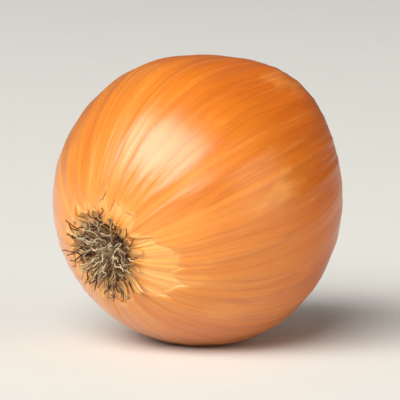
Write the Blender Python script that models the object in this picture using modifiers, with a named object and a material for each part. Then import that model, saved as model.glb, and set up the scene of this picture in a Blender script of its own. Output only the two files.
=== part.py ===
"""A yellow onion lying on its side: the bulb in its dry skin, and the root plate with its dried roots.

The bulb is turned round its own axis, which runs from the root plate to the neck. Its own frame has the
origin at the middle of the belly, -Z towards the roots and +Z towards the neck. The whole onion is then
laid down with the neck end a little raised, so that it rests on a small flat spot at the world's origin.
"""

import math
import random

import bmesh
import bpy
from mathutils import Vector

MM = 0.001

# The bulb's outline, in millimetres
BELLY_RADIUS = 34.5
ROOT_DEPTH = 33.0
NECK_RISE = 38.5
NECK_SHARPNESS = 1.85
NECK_RADIUS = 4.1
NECK_TOP = 46.0
NECK_SPREAD = 9.0
NECK_SPREAD_START = 30.5
NECK_SPREAD_LENGTH = 5.5
NECK_BLEND = 7.0
NECK_BLEND_RANGE = (8.0, 30.0)
MOUTH_OPENING = 0.4
MOUTH_LENGTH = 4.0
MOUTH_DEPTH = 1.8
MOUTH_LIP = 0.6

# The hollow at the root end, and the seat that the root plate sits in
DIMPLE_DEPTH = 1.6
DIMPLE_REACH = 9.0
SEAT_RADIUS = 7.0
SEAT_LIP = 0.7
SEAT_FLOOR = 3.4 - ROOT_DEPTH

# How the onion lies
AXIS_TILT = math.radians(16.0)
SPOT_DEPTH = 0.62
REST_BLOCK_SIZE = 60.0

# How finely the skin is divided
AROUND = 120
NECK_SIDE_RINGS = 12
ROOT_SIDE_RINGS = 15
ROOT_CROWDING = 1.35
NECK_RINGS = 6
NECK_FOOT = 3.0

# The relief of the dry skin: ribs, lobes, one fuller shoulder, the torn patch by the roots, the neck's folds
RIBS = 30
RIB_HEIGHT = 0.17
RIB_SWAY = 0.5
RIB_SWAY_WAVES = 3
RIB_SWAY_TURN = 0.06
RIBS_FULL_AT = 16.0
RIBS_FADE = (30.0, 38.0)
LOBES = ((2, 0.42, 0.7), (3, 0.34, 2.1), (5, 0.16, 4.0))
LOBE_TURN = 0.35
SHOULDER_SWELL = 3.4
SHOULDER_ANGLE = -2.5
SHOULDER_WIDTH = 0.55
SHOULDER_HEIGHT = 25.0
SHOULDER_LENGTH = 11.0
TEAR_DEPTH = 0.55
TEAR_REACH = 11.8
TEAR_WAVES = ((2, 1.0, 5.1), (5, 0.9, 0.4), (9, 0.8, 2.6), (17, 0.6, 1.1))
TEAR_PATCH_REACH = 7.0
TEAR_PATCH_ANGLE = -1.3
TEAR_PATCH_WIDTH = 0.54
TEAR_EDGE = 1.6
FOLDS = ((7, 0.42, 0.9), (11, 0.36, 2.0), (4, 0.26, 1.2))
FOLDS_GROW = (26.0, 40.0)
FOLDS_WEAKER = 0.4
FOLDS_WEAKER_RANGE = (6.0, 20.0)
NECK_START = 30.0
NECK_TURN = math.radians(38.0)
NECK_FLATTEN = 0.30
NECK_LEAN = 5.6
NECK_LEAN_ANGLE = math.radians(67.0)
RAGGED = ((2, 0.8, 0.3), (5, 0.6, 1.9), (7, 0.5, 4.4))
RAGGED_LENGTH = 3.0

# The papery tips that stand out of the neck
TIPS = 7
TIP_RING = 2.7
TIP_WIDTH = 4.2
TIP_LENGTH = 9.2
TIP_SINK = 3.8
TIP_THICKNESS = 0.7
TIP_POINT = 0.30
TIP_TAPER = 0.9
TIP_BOW = 0.7
TIP_LENGTH_SHARES = (0.66, 1.0)
TIP_CURLS = (-1.8, 1.4)
TIP_TURN_DRAW = 0.3
TIP_ROWS = 5

# The root plate and its dried roots; angles in degrees, except swing and twist, which are in radians
PLATE_GAP = 0.3
PLATE_CROWN = 1.0
PLATE_EDGE = 2.1 - ROOT_DEPTH
PLATE_SIDES = 36
ROOTS = 58
ROOT_RING = 5.7
ROOT_SINK = 0.8
ROOT_RADIUS = 0.46
ROOT_TIP_SHARE = 0.62
ROOT_JOINTS = 5
ROOT_LENGTHS = (4.2, 7.4)
ROOT_EDGE_SHORTER = 0.25
ROOT_CLEAR = 0.95
ROOT_LEANS = (12.0, 62.0)
ROOT_LEAN_DRAW = 14.0
ROOT_SWING_DRAW = 0.5
ROOT_BENDS = (4.0, 26.0)
ROOT_TWISTS = (0.1, 0.42)
GOLDEN_ANGLE = math.pi * (3.0 - math.sqrt(5.0))
SEED = 11

SKIN_COLOUR, SKIN_ROUGHNESS = (0.72, 0.30, 0.07, 1.0), 0.38
ROOT_COLOUR, ROOT_ROUGHNESS = (0.34, 0.21, 0.11, 1.0), 0.8


def clear_scene():
    """Removes whatever the startup file holds."""
    for obj in list(bpy.data.objects):
        bpy.data.objects.remove(obj, do_unlink=True)


def ease(value, start, end):
    """0 before start, 1 after end, and a smooth climb between them."""
    share = min(1.0, max(0.0, (value - start) / (end - start)))
    return share * share * (3.0 - 2.0 * share)


def waves(angle, terms):
    """A sum of cosines round the axis: terms are (count, height, phase)."""
    return sum(height * math.cos(count * angle + phase) for count, height, phase in terms)


def smooth_max(a, b, blend):
    """The larger of two radii, with a fillet where they meet."""
    share = max(blend - abs(a - b), 0.0) / blend
    return max(a, b) + share * share * blend / 4.0


def root_side_height(radius):
    """Where the skin lies along the axis, at a radius on the root side, without its relief."""
    oval = -ROOT_DEPTH * math.sqrt(max(0.0, 1.0 - (radius / BELLY_RADIUS) ** 2))
    return oval + DIMPLE_DEPTH * math.exp(-((radius / DIMPLE_REACH) ** 2))


def neck_radius(height):
    """The neck's own radius: it spreads into the shoulders below and opens a little at its mouth."""
    spread = NECK_SPREAD * math.exp(-max(0.0, height - NECK_SPREAD_START) / NECK_SPREAD_LENGTH)
    opening = MOUTH_OPENING * ease(height, NECK_TOP - MOUTH_LENGTH, NECK_TOP)
    return NECK_RADIUS + spread + opening


def neck_side_radius(height):
    """The turned radius of the shoulders and the neck at a height above the belly."""
    share = min(1.0, height / NECK_RISE)
    shoulder = BELLY_RADIUS * (1.0 - share**NECK_SHARPNESS) ** (1.0 / NECK_SHARPNESS)
    return smooth_max(shoulder, neck_radius(height), NECK_BLEND * ease(height, *NECK_BLEND_RANGE) + 1e-6)


def bulb_outline():
    """(radius, height) points from the middle of the neck's mouth down the outside to the root seat."""
    mouth, mouth_floor = neck_side_radius(NECK_TOP), NECK_TOP - MOUTH_DEPTH
    points = [(0.0, mouth_floor), (0.55 * mouth, mouth_floor + 0.2 * MOUTH_DEPTH), (0.85 * mouth, NECK_TOP)]
    neck_top, neck_foot = NECK_TOP - MOUTH_LIP, NECK_RISE - NECK_FOOT
    for n in range(NECK_RINGS + 1):
        height = neck_top - (neck_top - neck_foot) * n / NECK_RINGS
        points.append((neck_side_radius(height), height))
    lowest = math.asin(neck_foot / NECK_RISE)
    for n in range(1, NECK_SIDE_RINGS):
        height = NECK_RISE * math.sin(lowest * (1.0 - n / NECK_SIDE_RINGS))
        points.append((neck_side_radius(height), height))
    seat_rim = math.asin((SEAT_RADIUS + SEAT_LIP) / BELLY_RADIUS)
    for n in range(ROOT_SIDE_RINGS):
        left = 1.0 - n / (ROOT_SIDE_RINGS - 1)
        turn = seat_rim + (math.pi / 2.0 - seat_rim) * left**ROOT_CROWDING
        radius = BELLY_RADIUS * math.sin(turn)
        points.append((radius, root_side_height(radius)))
    points.append((SEAT_RADIUS, SEAT_FLOOR))
    points.append((0.5 * SEAT_RADIUS, SEAT_FLOOR))
    points.append((0.0, SEAT_FLOOR))
    return points


def turn_between(angle, other):
    """The signed angle from other to angle, between minus and plus half a turn."""
    return (angle - other + math.pi) % math.tau - math.pi


def fuller_shoulder(angle, height):
    """How much fuller the bulb is at one side of its shoulder than at the others."""
    aside = turn_between(angle, SHOULDER_ANGLE) / SHOULDER_WIDTH
    along = (height - SHOULDER_HEIGHT) / SHOULDER_LENGTH
    return SHOULDER_SWELL * math.exp(-(aside**2) - along**2)


def torn(angle, height, radius):
    """1 where the outermost skin has flaked off round the root end, and 0 where it is whole."""
    if height > 0.0:
        return 0.0
    from_patch = turn_between(angle, TEAR_PATCH_ANGLE) / TEAR_PATCH_WIDTH
    reach = TEAR_REACH + waves(angle, TEAR_WAVES) + TEAR_PATCH_REACH * math.exp(-(from_patch**4))
    return 1.0 - ease(radius, reach, reach + TEAR_EDGE)


def skin_relief(angle, height, radius):
    """How far the skin stands out from the turned outline."""
    fullness = min(1.0, radius / BELLY_RADIUS) ** 2
    lobes = waves(angle + LOBE_TURN * height / NECK_RISE, LOBES) * fullness
    sway = RIB_SWAY * math.sin(RIB_SWAY_WAVES * angle + RIB_SWAY_TURN * height)
    ridge = (0.5 + 0.5 * math.cos(RIBS * angle + sway)) ** 2
    on_belly = ease(radius, SEAT_RADIUS + 1.0, RIBS_FULL_AT) * (1.0 - ease(height, *RIBS_FADE))
    past_mouth = ease(radius, 0.4 * NECK_RADIUS, 0.8 * NECK_RADIUS)
    folds = waves(angle, FOLDS) * ease(height, *FOLDS_GROW) * past_mouth
    folds *= 1.0 - FOLDS_WEAKER * ease(radius, *FOLDS_WEAKER_RANGE)
    outside = 1.0 if radius > SEAT_RADIUS + 0.5 * SEAT_LIP else 0.0
    flaked = TEAR_DEPTH * torn(angle, height, radius) * outside
    return lobes + fuller_shoulder(angle, height) + RIB_HEIGHT * ridge * on_belly + folds - flaked


def place_on_skin(turned):
    """Moves a point of the turned outline to where the real skin is: relief, twist, lean and ragged mouth."""
    angle, radius, height = math.atan2(turned.y, turned.x), turned.xy.length, turned.z
    if radius > 1e-6:
        radius = max(0.0, radius + skin_relief(angle, height, radius))
    at_neck = ease(height, NECK_START, NECK_TOP)
    angle_now = angle + NECK_TURN * at_neck
    x = radius * math.cos(angle_now)
    y = radius * math.sin(angle_now) * (1.0 - NECK_FLATTEN * at_neck)
    lean = NECK_LEAN * at_neck
    ragged = waves(angle, RAGGED) * ease(height, NECK_TOP - RAGGED_LENGTH, NECK_TOP)
    z = height + ragged * ease(radius, 0.0, 0.7 * NECK_RADIUS)
    return Vector((x + lean * math.cos(NECK_LEAN_ANGLE), y + lean * math.sin(NECK_LEAN_ANGLE), z))


def turned_mesh(name, outline, sides):
    """A closed mesh in metres, turned round Z from (radius, height) points in millimetres."""
    profile = bpy.data.meshes.new(name + "_profile")
    vertices = [(radius * MM, 0.0, height * MM) for radius, height in outline]
    profile.from_pydata(vertices, [(n, n + 1) for n in range(len(vertices) - 1)], [])
    helper = bpy.data.objects.new(name + "_profile", profile)
    bpy.context.scene.collection.objects.link(helper)
    screw = helper.modifiers.new("turn", "SCREW")
    screw.steps = screw.render_steps = sides
    screw.use_merge_vertices = True
    screw.merge_threshold = 1e-6
    graph = bpy.context.evaluated_depsgraph_get()
    mesh = bpy.data.meshes.new_from_object(helper.evaluated_get(graph))
    bpy.data.objects.remove(helper)
    mesh.name = name
    return mesh


def named_object(name, mesh, collection, parent):
    """An object for a mesh, in a collection and under the onion's axis."""
    obj = bpy.data.objects.new(name, mesh)
    collection.objects.link(obj)
    obj.parent = parent
    return obj


def painted(obj, colour, roughness):
    """Gives an object its own Principled material."""
    material = bpy.data.materials.new(obj.name)
    material.use_nodes = True
    surface = material.node_tree.nodes["Principled BSDF"]
    surface.inputs["Base Color"].default_value = colour
    surface.inputs["Roughness"].default_value = roughness
    surface.inputs["Metallic"].default_value = 0.0
    obj.data.materials.clear()
    obj.data.materials.append(material)


def apply_modifiers(obj):
    """Keeps the evaluated mesh and drops the modifiers."""
    graph = bpy.context.evaluated_depsgraph_get()
    mesh = bpy.data.meshes.new_from_object(obj.evaluated_get(graph))
    obj.modifiers.clear()
    obj.data = mesh


def join_collection(obj, pieces):
    """Fuses every object of a collection into obj, and removes them."""
    union = obj.modifiers.new("fuse", "BOOLEAN")
    union.operation = "UNION"
    union.operand_type = "COLLECTION"
    union.collection = pieces
    union.solver = "MANIFOLD"
    bpy.context.view_layer.update()
    apply_modifiers(obj)
    for piece in list(pieces.objects):
        bpy.data.objects.remove(piece)
    bpy.data.collections.remove(pieces)


def lying_axis(collection):
    """The empty that carries the onion: its +Z is the onion's own axis, laid down with the neck raised."""
    along, across = ROOT_DEPTH * math.sin(AXIS_TILT), BELLY_RADIUS * math.cos(AXIS_TILT)
    reach = math.hypot(along, across)
    towards_root = ROOT_DEPTH * along / reach
    below = BELLY_RADIUS * across / reach
    contact_x = below * math.sin(AXIS_TILT) - towards_root * math.cos(AXIS_TILT)
    axis = bpy.data.objects.new("onion_axis", None)
    collection.objects.link(axis)
    axis.rotation_euler = (0.0, math.pi / 2.0 - AXIS_TILT, 0.0)
    axis.location = (-contact_x * MM, 0.0, (reach - SPOT_DEPTH) * MM)
    return axis


def neck_tip(name, turn, length, curl, collection, parent):
    """One pointed strip of dry skin: a thin curved blade that stands out of the neck's mouth."""
    shape = bmesh.new()
    rows = []
    for n in range(TIP_ROWS + 1):
        share = n / TIP_ROWS
        half = 0.5 * TIP_WIDTH * (1.0 - share) ** TIP_TAPER + TIP_POINT
        out = TIP_RING + curl * share * share
        height = NECK_TOP - TIP_SINK + length * share
        row = []
        for side in (-1.0, 0.0, 1.0):
            bow = TIP_BOW * abs(side) * (1.0 - share)
            row.append(shape.verts.new(Vector((out - bow, side * half, height)) * MM))
        rows.append(row)
    for below, above in zip(rows, rows[1:]):
        for n in range(2):
            shape.faces.new((below[n], below[n + 1], above[n + 1], above[n]))
    mesh = bpy.data.meshes.new(name)
    shape.to_mesh(mesh)
    shape.free()
    tip = named_object(name, mesh, collection, parent)
    tip.rotation_euler = (0.0, 0.0, turn)
    tip.location = Vector((math.cos(NECK_LEAN_ANGLE), math.sin(NECK_LEAN_ANGLE), 0.0)) * NECK_LEAN * MM
    solid = tip.modifiers.new("thickness", "SOLIDIFY")
    solid.thickness = TIP_THICKNESS * MM
    solid.offset = 0.0
    apply_modifiers(tip)
    return tip


def resting_surface(cutters):
    """The block below the floor that cuts the flat spot."""
    size = REST_BLOCK_SIZE * MM
    bpy.ops.mesh.primitive_cube_add(size=size, location=(0.0, 0.0, -0.5 * size))
    block = bpy.context.object
    block.name = "resting_surface"
    block.hide_render = True
    block.display_type = "WIRE"
    for holder in list(block.users_collection):
        holder.objects.unlink(block)
    cutters.objects.link(block)
    return block


def make_bulb(collection, cutters, axis):
    """The bulb with its neck, its dry papery tips and the flat spot that it rests on."""
    mesh = turned_mesh("bulb", bulb_outline(), AROUND)
    for vertex in mesh.vertices:
        vertex.co = place_on_skin(vertex.co / MM) * MM
    bulb = named_object("bulb", mesh, collection, axis)
    strips = bpy.data.collections.new("neck_tips")
    bpy.context.scene.collection.children.link(strips)
    draw = random.Random(SEED)
    for n in range(TIPS):
        turn = math.tau * n / TIPS + draw.uniform(-TIP_TURN_DRAW, TIP_TURN_DRAW)
        length = TIP_LENGTH * draw.uniform(*TIP_LENGTH_SHARES)
        neck_tip(f"neck_tip_{n}", turn, length, draw.uniform(*TIP_CURLS), strips, axis)
    join_collection(bulb, strips)
    cut = bulb.modifiers.new("flat spot", "BOOLEAN")
    cut.operation = "DIFFERENCE"
    cut.object = resting_surface(cutters)
    bulb.data.shade_smooth()
    painted(bulb, SKIN_COLOUR, SKIN_ROUGHNESS)
    return bulb


def plate_outline():
    """(radius, height) points of the root plate, from its flat back round its edge to its crown."""
    edge = SEAT_RADIUS - PLATE_GAP
    back = SEAT_FLOOR - PLATE_GAP
    points = [(0.0, back), (0.5 * edge, back), (edge, back), (edge, PLATE_EDGE)]
    for share in (0.85, 0.6, 0.3, 0.0):
        points.append((share * edge, PLATE_EDGE - PLATE_CROWN * (1.0 - share**2)))
    return points


def root_path(number, draw):
    """The points of one dried root, which leaves the plate, leans out and curls over the skin."""
    share = math.sqrt((number + 0.5) / ROOTS)
    angle = number * GOLDEN_ANGLE
    outward = Vector((math.cos(angle), math.sin(angle), 0.0))
    sideways = Vector((-outward.y, outward.x, 0.0))
    start = outward * ROOT_RING * share
    start.z = PLATE_EDGE - PLATE_CROWN * (1.0 - share * share) + ROOT_SINK
    lean = ROOT_LEANS[0] + (ROOT_LEANS[1] - ROOT_LEANS[0]) * share
    lean = math.radians(lean + draw.uniform(-ROOT_LEAN_DRAW, ROOT_LEAN_DRAW))
    swing = draw.uniform(-ROOT_SWING_DRAW, ROOT_SWING_DRAW)
    bend = math.radians(draw.uniform(*ROOT_BENDS))
    twist = draw.choice((-1.0, 1.0)) * draw.uniform(*ROOT_TWISTS)
    step = draw.uniform(*ROOT_LENGTHS) * (1.0 - ROOT_EDGE_SHORTER * share) / ROOT_JOINTS
    points = [start]
    for _ in range(ROOT_JOINTS):
        level = outward * math.cos(swing) + sideways * math.sin(swing)
        way = level * math.sin(lean) - Vector((0.0, 0.0, math.cos(lean)))
        point = points[-1] + way * step
        point.z = min(point.z, root_side_height(min(point.xy.length, BELLY_RADIUS)) - ROOT_CLEAR)
        points.append(point)
        lean += bend
        swing += twist
    return points


def root_mesh(name, points):
    """A thin tapered tube along the points, as a closed mesh."""
    curve = bpy.data.curves.new(name, "CURVE")
    curve.dimensions = "3D"
    curve.bevel_depth = ROOT_RADIUS * MM
    curve.bevel_resolution = 0
    curve.use_fill_caps = True
    line = curve.splines.new("POLY")
    line.points.add(len(points) - 1)
    for n, point in enumerate(points):
        line.points[n].co = (*(point * MM), 1.0)
        line.points[n].radius = 1.0 - (1.0 - ROOT_TIP_SHARE) * n / (len(points) - 1)
    wire = bpy.data.objects.new(name, curve)
    bpy.context.scene.collection.objects.link(wire)
    graph = bpy.context.evaluated_depsgraph_get()
    mesh = bpy.data.meshes.new_from_object(wire.evaluated_get(graph))
    bpy.data.objects.remove(wire)
    shape = bmesh.new()
    shape.from_mesh(mesh)
    bmesh.ops.remove_doubles(shape, verts=shape.verts, dist=1e-6)
    bmesh.ops.recalc_face_normals(shape, faces=shape.faces)
    shape.to_mesh(mesh)
    shape.free()
    return mesh


def make_roots(collection, axis):
    """The root plate with its dried roots, fused into one tuft that sits in the bulb's seat."""
    plate = turned_mesh("roots", plate_outline(), PLATE_SIDES)
    shape = bmesh.new()
    shape.from_mesh(plate)
    bmesh.ops.recalc_face_normals(shape, faces=shape.faces)
    shape.to_mesh(plate)
    shape.free()
    tuft = named_object("roots", plate, collection, axis)
    pieces = bpy.data.collections.new("root_pieces")
    bpy.context.scene.collection.children.link(pieces)
    draw = random.Random(SEED)
    for n in range(ROOTS):
        named_object(f"root_{n}", root_mesh(f"root_{n}", root_path(n, draw)), pieces, axis)
    join_collection(tuft, pieces)
    tuft.data.shade_smooth()
    painted(tuft, ROOT_COLOUR, ROOT_ROUGHNESS)
    return tuft


def main():
    clear_scene()
    onion = bpy.data.collections.new("onion")
    cutters = bpy.data.collections.new("cutters")
    for collection in (onion, cutters):
        bpy.context.scene.collection.children.link(collection)
    axis = lying_axis(onion)
    bpy.context.view_layer.update()
    make_bulb(onion, cutters, axis)
    make_roots(onion, axis)


main()
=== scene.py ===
# %% [markdown]
# # A yellow onion on its side
#
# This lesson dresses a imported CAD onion. The CAD model gives two solids: the bulb, and the root plate with
# its dried roots. Here both are replaced by finer pieces that keep their form: a skin with veins, wrinkles
# and a torn edge, a tuft of thin curly roots, and the dry papery ends of the neck. The onion's own axis
# runs from the root plate to the neck. Everything is made round that axis, in millimetres, and then laid
# down in metres where the CAD onion lies.

# %% Load the frame
import math
import random

import bpy
import numpy as np
from mathutils import Matrix, Vector


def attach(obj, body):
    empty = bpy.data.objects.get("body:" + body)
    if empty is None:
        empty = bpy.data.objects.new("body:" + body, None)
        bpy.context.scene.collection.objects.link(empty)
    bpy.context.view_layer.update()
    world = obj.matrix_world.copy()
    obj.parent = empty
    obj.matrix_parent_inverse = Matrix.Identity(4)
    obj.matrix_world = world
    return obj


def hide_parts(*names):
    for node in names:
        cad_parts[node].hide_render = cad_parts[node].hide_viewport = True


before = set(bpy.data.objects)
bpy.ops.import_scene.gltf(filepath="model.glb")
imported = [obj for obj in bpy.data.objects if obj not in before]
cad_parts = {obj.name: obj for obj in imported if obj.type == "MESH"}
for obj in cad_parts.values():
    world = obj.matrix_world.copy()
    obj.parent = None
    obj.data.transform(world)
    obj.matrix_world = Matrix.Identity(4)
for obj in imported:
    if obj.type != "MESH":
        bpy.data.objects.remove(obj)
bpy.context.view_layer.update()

# %% [markdown]
# ## Light and camera
#
# The onion was photographed in soft studio light: one broad, soft-edged highlight lies above the middle of
# the bulb and runs out to its left. A highlight this wide needs lamps that are wide as the onion sees them.
# The main lamp is a large rectangle high in front, and a second one at the left stretches its highlight. A
# weaker, warmer one at the right keeps the shaded side orange instead of grey. All stand well back, because
# near lamps would leave a bright pool on the floor and let the background go dark. A plain, almost white
# world lifts the last shadows, as studio walls do. The camera looks a little down, from the side where the
# roots show at the lower left, through a long lens, so that the round bulb isn't distorted.

# %% Light and camera
MM = 0.001
VIEW_AZIMUTH = -46.5
VIEW_ELEVATION = 8.0
CAMERA_DISTANCE = 0.80
CAMERA_LENS = 300.0
LOOK_AT = Vector((0.001, 0.0, 0.034))
LAMP_DISTANCE = 5.0
MAIN_LAMP = {"direction": (-0.40, 0.60, 0.69), "size": (5.0, 3.5), "energy": 408.0, "tint": (1.0, 0.97, 0.87)}
LEFT_LAMP = {"direction": (-0.80, 0.44, 0.41), "size": (3.6, 3.6), "energy": 75.0, "tint": (1.0, 0.97, 0.90)}
WARM_LAMP = {"direction": (0.84, 0.10, 0.53), "size": (4.4, 4.4), "energy": 112.0, "tint": (1.0, 0.85, 0.66)}
WORLD_TINT, WORLD_STRENGTH = (1.0, 0.97, 0.93, 1.0), 0.15


def from_camera(right, up, towards):
    """A direction given as the camera sees it, turned into the frame's own axes."""
    turn, rise = math.radians(VIEW_AZIMUTH), math.radians(VIEW_ELEVATION)
    back = Vector((math.sin(turn) * math.cos(rise), -math.cos(turn) * math.cos(rise), math.sin(rise)))
    across = Vector((math.cos(turn), math.sin(turn), 0.0))
    return (across * right + back.cross(across) * up + back * towards).normalized()


def look_from(name, data, direction, distance):
    """A lamp or camera that looks at the onion from a direction, level with the horizon."""
    item = bpy.data.objects.new(name, data)
    bpy.context.scene.collection.objects.link(item)
    item.location = LOOK_AT + direction * distance
    item.rotation_euler = direction.to_track_quat("Z", "Y").to_euler()
    return item


camera = look_from("camera", bpy.data.cameras.new("camera"), from_camera(0.0, 0.0, 1.0), CAMERA_DISTANCE)
camera.data.lens = CAMERA_LENS
bpy.context.scene.camera = camera
bpy.context.scene.view_settings.view_transform = "Standard"

for name, lamp in (("main_lamp", MAIN_LAMP), ("left_lamp", LEFT_LAMP), ("warm_lamp", WARM_LAMP)):
    light = bpy.data.lights.new(name, "AREA")
    light.shape = "RECTANGLE"
    light.size, light.size_y = lamp["size"]
    light.energy = lamp["energy"]
    light.color = lamp["tint"]
    item = look_from(name, light, from_camera(*lamp["direction"]), LAMP_DISTANCE)
    print(name, "at", [round(value, 2) for value in item.location])

world = bpy.data.worlds.new("studio")
bpy.context.scene.world = world
world.use_nodes = True
world.node_tree.nodes["Background"].inputs["Color"].default_value = WORLD_TINT
world.node_tree.nodes["Background"].inputs["Strength"].default_value = WORLD_STRENGTH
print("camera at", [round(value, 3) for value in camera.location])

# %% [markdown]
# ## Small helpers for materials and Geometry Nodes
#
# Colours are easiest to read from a photograph as sRGB hex values, but Blender's sockets hold linear
# numbers, so one function turns the first into the second. Another adds a node, with its settings and its
# links, to a material or to a Geometry Nodes group, so that each step of a pattern takes one call. Two
# more start a material and fill in a colour ramp.

# %% Colour and node helpers


def srgb(code):
    """A colour such as "d9822f" as linear red, green and blue, with alpha 1."""
    channels = [int(code[n : n + 2], 16) / 255.0 for n in (0, 2, 4)]
    linear = [value / 12.92 if value <= 0.04045 else ((value + 0.055) / 1.055) ** 2.4 for value in channels]
    return (*linear, 1.0)


def add_node(tree, kind, out, inputs, **settings):
    """Adds a node and returns its output called out. inputs are plain values or other nodes' outputs."""
    node = tree.nodes.new(kind)
    for name, value in settings.items():
        setattr(node, name, value)
    for key, value in inputs.items():
        if isinstance(value, bpy.types.NodeSocket):
            tree.links.new(value, node.inputs[key])
        else:
            node.inputs[key].default_value = value
    return node.outputs[out]


def new_material(name):
    """A material's tree with its Principled shader."""
    material = bpy.data.materials.new(name)
    material.use_nodes = True
    return material, material.node_tree, material.node_tree.nodes["Principled BSDF"]


def set_ramp(output, stops):
    """Gives the Color Ramp that this output belongs to its stops: (position, colour) from left to right."""
    elements = output.node.color_ramp.elements
    for n, (position, colour) in enumerate(stops):
        element = elements[n] if n < len(elements) else elements.new(position)
        element.position = position
        element.color = srgb(colour)


print("the orange d9822f in linear numbers:", [round(value, 3) for value in srgb("d9822f")])

# %% [markdown]
# ## The floor
#
# A plain pale studio table keeps attention on the onion and catches its soft shadow. It is matt, so it
# mirrors nothing, and a faint grain, 25 mm across, keeps it from looking like empty space.

# %% Floor material and plane
FLOOR_SIZE = 4.0
FLOOR_GRAIN = 25.0 * MM
FLOOR_ROUGHNESS = 0.75

floor_material, tree, surface = new_material("pale_floor")
place = add_node(tree, "ShaderNodeTexCoord", "Object", {})
coarse = {"Vector": place, "Scale": 1.0 / FLOOR_GRAIN, "Detail": 3.0}
grain = add_node(tree, "ShaderNodeTexNoise", "Fac", coarse)
shade = add_node(tree, "ShaderNodeValToRGB", "Color", {"Fac": grain})
set_ramp(shade, [(0.0, "d6d7d9"), (1.0, "dadbdd")])
tree.links.new(shade, surface.inputs["Base Color"])
surface.inputs["Roughness"].default_value = FLOOR_ROUGHNESS
bpy.ops.mesh.primitive_plane_add(size=FLOOR_SIZE, location=(0.0, 0.0, 0.0))
floor = bpy.context.object
floor.name = "floor"
floor.data.materials.append(floor_material)
print("the floor is", round(floor.dimensions.x, 1), "m wide")

# %% [markdown]
# ## The onion's sizes
#
# Every finer piece has to fit the solid that it replaces, so this lesson uses the same named sizes as the
# CAD part, in millimetres, and each stands where it is first needed. The first are the largest ones, and
# how the onion lies: its axis is laid down with the neck a little raised, and it sinks by the depth of the
# flat spot that it rests on. One matrix holds all of that, and the change from millimetres to metres.

# %% Main sizes, and how the onion lies
BELLY_RADIUS = 34.5
ROOT_DEPTH = 33.0
AXIS_TILT = math.radians(16.0)
SPOT_DEPTH = 0.62


def lying_matrix():
    """Turns millimetres round the onion's own axis into metres where the onion lies."""
    along, across = ROOT_DEPTH * math.sin(AXIS_TILT), BELLY_RADIUS * math.cos(AXIS_TILT)
    reach = math.hypot(along, across)
    contact_x = BELLY_RADIUS * across * math.sin(AXIS_TILT) - ROOT_DEPTH * along * math.cos(AXIS_TILT)
    move = Matrix.Translation((-contact_x / reach * MM, 0.0, (reach - SPOT_DEPTH) * MM))
    return move @ Matrix.Rotation(math.pi / 2.0 - AXIS_TILT, 4, "Y") @ Matrix.Scale(MM, 4)


LYING = lying_matrix()
print("belly centre in metres:", [round(value, 4) for value in LYING.translation])

# %% [markdown]
# ## Three small parts that every form is made of
#
# A grown form is uneven, but it follows rules. Three small functions are enough for them: a smooth climb
# from 0 to 1 lets a feature begin and end without an edge, a sum of waves round the axis makes lobes and
# folds, and the angle between two directions says how far round the bulb a feature is. Each works on
# thousands of points at once with numpy.

# %% Eases, waves and turns


def ease(value, start, end):
    """0 before start, 1 after end, and a smooth climb between them."""
    share = np.clip((value - start) / (end - start), 0.0, 1.0)
    return share * share * (3.0 - 2.0 * share)


def waves(angle, terms):
    """A sum of cosines round the axis: terms are (count, height, phase)."""
    return sum(height * np.cos(count * angle + phase) for count, height, phase in terms)


def turn_between(angle, other):
    """The signed angle from other to angle, between minus and plus half a turn."""
    return (angle - other + math.pi) % math.tau - math.pi


print("a quarter of the way along, an ease has climbed to", round(float(ease(0.25, 0.0, 1.0)), 3))

# %% [markdown]
# ## The outline of the bulb
#
# A bulb is swelled by its layers, so its outline can be turned round the axis. It is a flattened ball at
# the root side, with a hollow round the roots, and at the other side a shoulder that runs into a short
# neck. Where the two meet at the belly, both have the same radius, and a fillet joins the shoulder to the
# neck. The outline is worked out at 3,000 places, with the length so far and the outward normal, so that
# what lies between them can be looked up.

# %% The bulb's outline
NECK_RISE = 38.5
NECK_SHARPNESS = 1.85
NECK_RADIUS = 4.1
NECK_TOP = 46.0
NECK_SPREAD = 9.0
NECK_SPREAD_START = 30.5
NECK_SPREAD_LENGTH = 5.5
NECK_BLEND = 7.0
NECK_BLEND_RANGE = (8.0, 30.0)
MOUTH_OPENING = 0.4
MOUTH_LENGTH = 4.0
DIMPLE_DEPTH = 1.6
DIMPLE_REACH = 9.0
SEAT_RADIUS = 7.0
SEAT_LIP = 0.7
OUTLINE_PLACES = 1500


def neck_side_radius(height):
    """The turned radius of the shoulders and the neck at a height above the belly."""
    share = np.minimum(1.0, height / NECK_RISE)
    shoulder = BELLY_RADIUS * (1.0 - share**NECK_SHARPNESS) ** (1.0 / NECK_SHARPNESS)
    spread = NECK_SPREAD * np.exp(-np.maximum(0.0, height - NECK_SPREAD_START) / NECK_SPREAD_LENGTH)
    neck = NECK_RADIUS + spread + MOUTH_OPENING * ease(height, NECK_TOP - MOUTH_LENGTH, NECK_TOP)
    blend = NECK_BLEND * ease(height, *NECK_BLEND_RANGE) + 1e-6
    fillet = np.maximum(blend - np.abs(shoulder - neck), 0.0) / blend
    return np.maximum(shoulder, neck) + fillet * fillet * blend / 4.0


def root_side_height(radius):
    """Where the skin lies along the axis, at a radius on the root side."""
    oval = -ROOT_DEPTH * np.sqrt(np.maximum(0.0, 1.0 - (radius / BELLY_RADIUS) ** 2))
    return oval + DIMPLE_DEPTH * np.exp(-((radius / DIMPLE_REACH) ** 2))


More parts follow.
